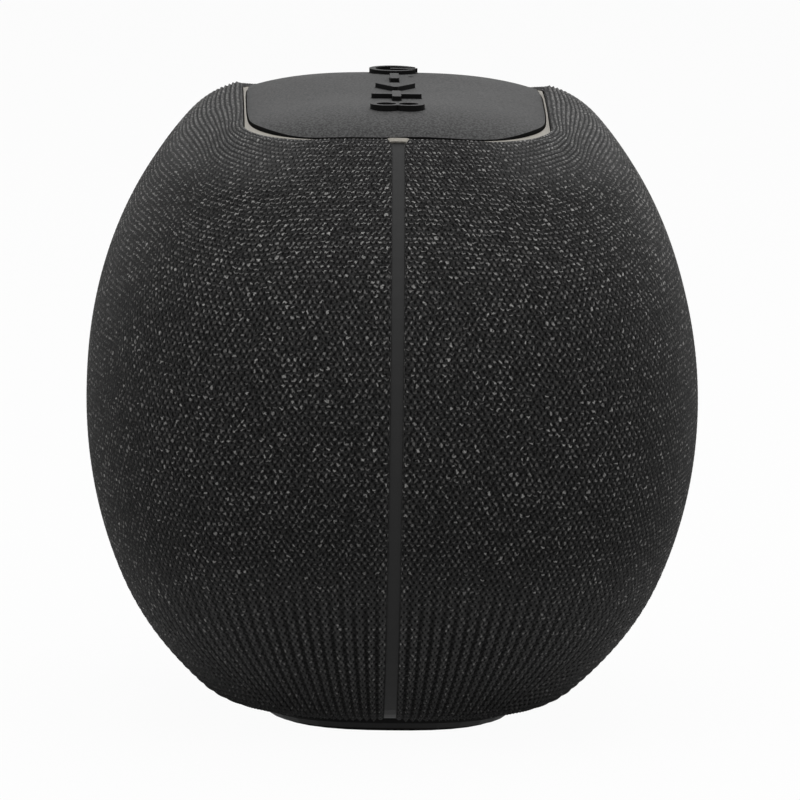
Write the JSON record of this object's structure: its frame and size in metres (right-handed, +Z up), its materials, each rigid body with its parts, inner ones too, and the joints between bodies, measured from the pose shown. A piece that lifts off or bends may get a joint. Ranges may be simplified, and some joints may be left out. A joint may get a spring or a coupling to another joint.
{
  "type": "portable speaker",
  "caption": "Fabric-covered portable speaker with a crowned key panel in its top, working keys and moving driver cones.",
  "frame": {"origin": "middle of the rubber foot, on the surface that the speaker stands on", "axes": "+X along the width, from the power key's end to the pairing key's end; +Y from front to back; +Z up"},
  "size_m": [0.1898, 0.1498, 0.1547],
  "materials": {
    "bezel_plastic": "light warm grey, satin",
    "black_plastic": "moulded, matt",
    "cell_wrap": "shrink wrap over a steel can",
    "circuit_board": "solder mask over glass laminate",
    "component_plastic": "moulded, matt",
    "cone_plastic": "matt",
    "copper": "enamelled wire on its former",
    "dome_silk": "coated silk",
    "driver_steel": "black coated",
    "foot_rubber": "matt",
    "knit_fabric": "knitted melange cloth, black with lighter yarns",
    "light_pipe": "frosted",
    "magnet": "ceramic magnet",
    "panel_plastic": "dark, satin, fine grain",
    "plated_steel": "zinc plated",
    "radiator_metal": "black coated",
    "screw_steel": "black zinc",
    "shell_plastic": "moulded, fine matt",
    "socket_steel": "stamped steel",
    "soft_rubber": "matt",
    "spider_cloth": "resin-dipped woven cloth",
    "strip_plastic": "satin"
  },
  "bodies": {
    "root": {"base_plate": "black_plastic", "base_screws": "screw_steel", "battery_cells": "cell_wrap", "battery_tray": "black_plastic", "bezel_ring": "bezel_plastic", "board_components": "component_plastic", "board_screws": "screw_steel", "charge_socket": "socket_steel", "deck_screws": "screw_steel", "driver_screws": "screw_steel", "enclosure_front": "black_plastic", "enclosure_gasket": "soft_rubber", "enclosure_rear": "black_plastic", "enclosure_screws": "screw_steel", "fabric_front": "knit_fabric", "fabric_rear": "knit_fabric", "foot_pad": "foot_rubber", "grille_front": "shell_plastic", "grille_rear": "shell_plastic", "key_board": "circuit_board", "main_board": "circuit_board", "port_frame": "black_plastic", "radiator_frame": "driver_steel", "radiator_surround": "soft_rubber", "seam_strip_left": "strip_plastic", "seam_strip_right": "strip_plastic", "status_led": "light_pipe", "tact_switches": "component_plastic", "top_deck": "black_plastic", "top_panel": "panel_plastic", "tweeter_cup": "plated_steel", "tweeter_faceplate": "component_plastic", "tweeter_magnet": "magnet", "woofer_basket": "driver_steel", "woofer_magnet": "magnet", "woofer_spider": "spider_cloth", "woofer_surround": "soft_rubber", "woofer_top_plate": "plated_steel", "woofer_yoke": "plated_steel"},
    "key_power_body": {"key_power": "panel_plastic", "plunger_power": "component_plastic"},
    "key_volume_down_body": {"key_volume_down": "panel_plastic", "plunger_volume_down": "component_plastic"},
    "key_play_body": {"key_play": "panel_plastic", "plunger_play": "component_plastic"},
    "key_volume_up_body": {"key_volume_up": "panel_plastic", "plunger_volume_up": "component_plastic"},
    "key_pairing_body": {"key_pairing": "panel_plastic", "plunger_pairing": "component_plastic"},
    "woofer_moving": {"woofer_cone": "cone_plastic", "woofer_coil": "copper", "woofer_dust_cap": "cone_plastic"},
    "tweeter_moving": {"tweeter_dome": "dome_silk"},
    "radiator_moving": {"radiator_plate": "radiator_metal"}
  },
  "joints": [
    {"name": "press_power", "type": "slide", "parent": "root", "child": "key_power_body", "axis": [0, 0, -1], "range_m": [0, 0.0006], "stiffness_N_per_m": 300, "springref_m": -0.0015},
    {"name": "press_volume_down", "type": "slide", "parent": "root", "child": "key_volume_down_body", "axis": [0, 0, -1], "range_m": [0, 0.0006], "stiffness_N_per_m": 300, "springref_m": -0.0015},
    {"name": "press_play", "type": "slide", "parent": "root", "child": "key_play_body", "axis": [0, 0, -1], "range_m": [0, 0.0006], "stiffness_N_per_m": 300, "springref_m": -0.0015},
    {"name": "press_volume_up", "type": "slide", "parent": "root", "child": "key_volume_up_body", "axis": [0, 0, -1], "range_m": [0, 0.0006], "stiffness_N_per_m": 300, "springref_m": -0.0015},
    {"name": "press_pairing", "type": "slide", "parent": "root", "child": "key_pairing_body", "axis": [0, 0, -1], "range_m": [0, 0.0006], "stiffness_N_per_m": 300, "springref_m": -0.0015},
    {"name": "woofer_stroke", "type": "slide", "parent": "root", "child": "woofer_moving", "axis": [0, -1, 0], "range_m": [-0.004, 0.004], "stiffness_N_per_m": 900, "deforming": ["woofer_surround", "woofer_spider"]},
    {"name": "tweeter_stroke", "type": "slide", "parent": "root", "child": "tweeter_moving", "axis": [0, -1, 0], "range_m": [-0.00025, 0.00025], "stiffness_N_per_m": 400},
    {"name": "radiator_stroke", "type": "slide", "parent": "root", "child": "radiator_moving", "axis": [0, 1, 0], "range_m": [-0.005, 0.005], "stiffness_N_per_m": 500, "deforming": ["radiator_surround"]}
  ]
}
